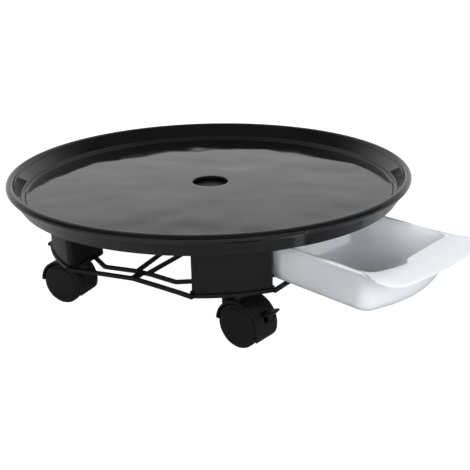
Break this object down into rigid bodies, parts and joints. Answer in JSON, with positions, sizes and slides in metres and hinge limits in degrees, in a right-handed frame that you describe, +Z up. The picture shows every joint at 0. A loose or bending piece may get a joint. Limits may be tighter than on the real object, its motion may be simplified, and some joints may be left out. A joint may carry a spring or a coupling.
{
  "type": "plant pot caddy",
  "caption": "Round wheeled saucer for a plant pot, with a drain hole, a pull-out water drawer between its legs and swivel casters.",
  "frame": {"origin": "centre of the drain hole at the tray's floor", "axes": "+Z up through the drain hole, +X the way the water drawer pulls out"},
  "size_m": [0.4515, 0.38, 0.1142],
  "materials": {
    "tray_plastic": "semi-gloss black polypropylene",
    "frame_plastic": "satin black polypropylene",
    "drawer_plastic": "translucent white polypropylene",
    "caster_plastic": "satin black nylon",
    "wheel_plastic": "satin black nylon",
    "sleeve_nylon": "moulded black nylon",
    "zinc_steel": "zinc plated"
  },
  "bodies": {
    "root": {"chute_screws": "zinc_steel", "drain_chute": "frame_plastic", "drawer_rail_left": "frame_plastic", "drawer_rail_right": "frame_plastic", "leg_housing_1": "frame_plastic", "leg_housing_2": "frame_plastic", "leg_housing_3": "frame_plastic", "leg_housing_4": "frame_plastic", "leg_housing_5": "frame_plastic", "leg_screws": "zinc_steel", "lower_frame": "frame_plastic", "rail_screws": "zinc_steel", "stem_sleeve_1": "sleeve_nylon", "stem_sleeve_2": "sleeve_nylon", "stem_sleeve_3": "sleeve_nylon", "stem_sleeve_4": "sleeve_nylon", "stem_sleeve_5": "sleeve_nylon", "tray": "tray_plastic"},
    "drawer": {"drawer": "drawer_plastic"},
    "caster_1": {"caster_hood_1": "caster_plastic", "caster_stem_1": "zinc_steel", "caster_axle_1": "zinc_steel", "brake_pin_1": "zinc_steel"},
    "wheel_1a": {"wheel_1a": "wheel_plastic"},
    "wheel_1b": {"wheel_1b": "wheel_plastic"},
    "brake_lever_1": {"brake_lever_1": "caster_plastic"},
    "caster_2": {"caster_hood_2": "caster_plastic", "caster_stem_2": "zinc_steel", "caster_axle_2": "zinc_steel"},
    "wheel_2a": {"wheel_2a": "wheel_plastic"},
    "wheel_2b": {"wheel_2b": "wheel_plastic"},
    "caster_3": {"caster_hood_3": "caster_plastic", "caster_stem_3": "zinc_steel", "caster_axle_3": "zinc_steel"},
    "wheel_3a": {"wheel_3a": "wheel_plastic"},
    "wheel_3b": {"wheel_3b": "wheel_plastic"},
    "caster_4": {"caster_hood_4": "caster_plastic", "caster_stem_4": "zinc_steel", "caster_axle_4": "zinc_steel"},
    "wheel_4a": {"wheel_4a": "wheel_plastic"},
    "wheel_4b": {"wheel_4b": "wheel_plastic"},
    "caster_5": {"caster_hood_5": "caster_plastic", "caster_stem_5": "zinc_steel", "caster_axle_5": "zinc_steel", "brake_pin_5": "zinc_steel"},
    "wheel_5a": {"wheel_5a": "wheel_plastic"},
    "wheel_5b": {"wheel_5b": "wheel_plastic"},
    "brake_lever_5": {"brake_lever_5": "caster_plastic"}
  },
  "joints": [
    {"name": "drawer_slide", "type": "slide", "parent": "root", "child": "drawer", "axis": [1, 0, 0], "range_m": [-0.085, 0]},
    {"name": "caster_swivel_1", "type": "hinge", "parent": "root", "child": "caster_1", "pos_m": [0.10598, 0.077, -0.05], "axis": [0, 0, 1], "continuous": true},
    {"name": "wheel_spin_1a", "type": "hinge", "parent": "caster_1", "child": "wheel_1a", "pos_m": [0.09083, 0.08575, -0.0787], "axis": [0.5, 0.866, 0], "continuous": true},
    {"name": "wheel_spin_1b", "type": "hinge", "parent": "caster_1", "child": "wheel_1b", "pos_m": [0.09083, 0.08575, -0.0787], "axis": [0.5, 0.866, 0], "continuous": true},
    {"name": "brake_press_1", "type": "hinge", "parent": "caster_1", "child": "brake_lever_1", "pos_m": [0.07877, 0.09271, -0.06966], "axis": [-0.5, -0.866, 0], "range_deg": [0, 16]},
    {"name": "caster_swivel_2", "type": "hinge", "parent": "root", "child": "caster_2", "pos_m": [-0.04048, 0.12459, -0.05], "axis": [0, 0, 1], "continuous": true},
    {"name": "wheel_spin_2a", "type": "hinge", "parent": "caster_2", "child": "wheel_2a", "pos_m": [-0.03595, 0.14149, -0.0787], "axis": [0.9659, -0.2588, 0], "continuous": true},
    {"name": "wheel_spin_2b", "type": "hinge", "parent": "caster_2", "child": "wheel_2b", "pos_m": [-0.03595, 0.14149, -0.0787], "axis": [0.9659, -0.2588, 0], "continuous": true},
    {"name": "caster_swivel_3", "type": "hinge", "parent": "root", "child": "caster_3", "pos_m": [-0.131, 0, -0.05], "axis": [0, 0, 1], "continuous": true},
    {"name": "wheel_spin_3a", "type": "hinge", "parent": "caster_3", "child": "wheel_3a", "pos_m": [-0.14686, -0.0074, -0.0787], "axis": [-0.4226, 0.9063, 0], "continuous": true},
    {"name": "wheel_spin_3b", "type": "hinge", "parent": "caster_3", "child": "wheel_3b", "pos_m": [-0.14686, -0.0074, -0.0787], "axis": [-0.4226, 0.9063, 0], "continuous": true},
    {"name": "caster_swivel_4", "type": "hinge", "parent": "root", "child": "caster_4", "pos_m": [-0.04048, -0.12459, -0.05], "axis": [0, 0, 1], "continuous": true},
    {"name": "wheel_spin_4a", "type": "hinge", "parent": "caster_4", "child": "wheel_4a", "pos_m": [-0.05682, -0.13086, -0.0787], "axis": [-0.3584, 0.9336, 0], "continuous": true},
    {"name": "wheel_spin_4b", "type": "hinge", "parent": "caster_4", "child": "wheel_4b", "pos_m": [-0.05682, -0.13086, -0.0787], "axis": [-0.3584, 0.9336, 0], "continuous": true},
    {"name": "caster_swivel_5", "type": "hinge", "parent": "root", "child": "caster_5", "pos_m": [0.10598, -0.077, -0.05], "axis": [0, 0, 1], "continuous": true},
    {"name": "wheel_spin_5a", "type": "hinge", "parent": "caster_5", "child": "wheel_5a", "pos_m": [0.1234, -0.07532, -0.0787], "axis": [0.0958, -0.9954, 0], "continuous": true},
    {"name": "wheel_spin_5b", "type": "hinge", "parent": "caster_5", "child": "wheel_5b", "pos_m": [0.1234, -0.07532, -0.0787], "axis": [0.0958, -0.9954, 0], "continuous": true},
    {"name": "brake_press_5", "type": "hinge", "parent": "caster_5", "child": "brake_lever_5", "pos_m": [0.13726, -0.07399, -0.06966], "axis": [-0.0958, 0.9954, 0], "range_deg": [0, 16]}
  ]
}
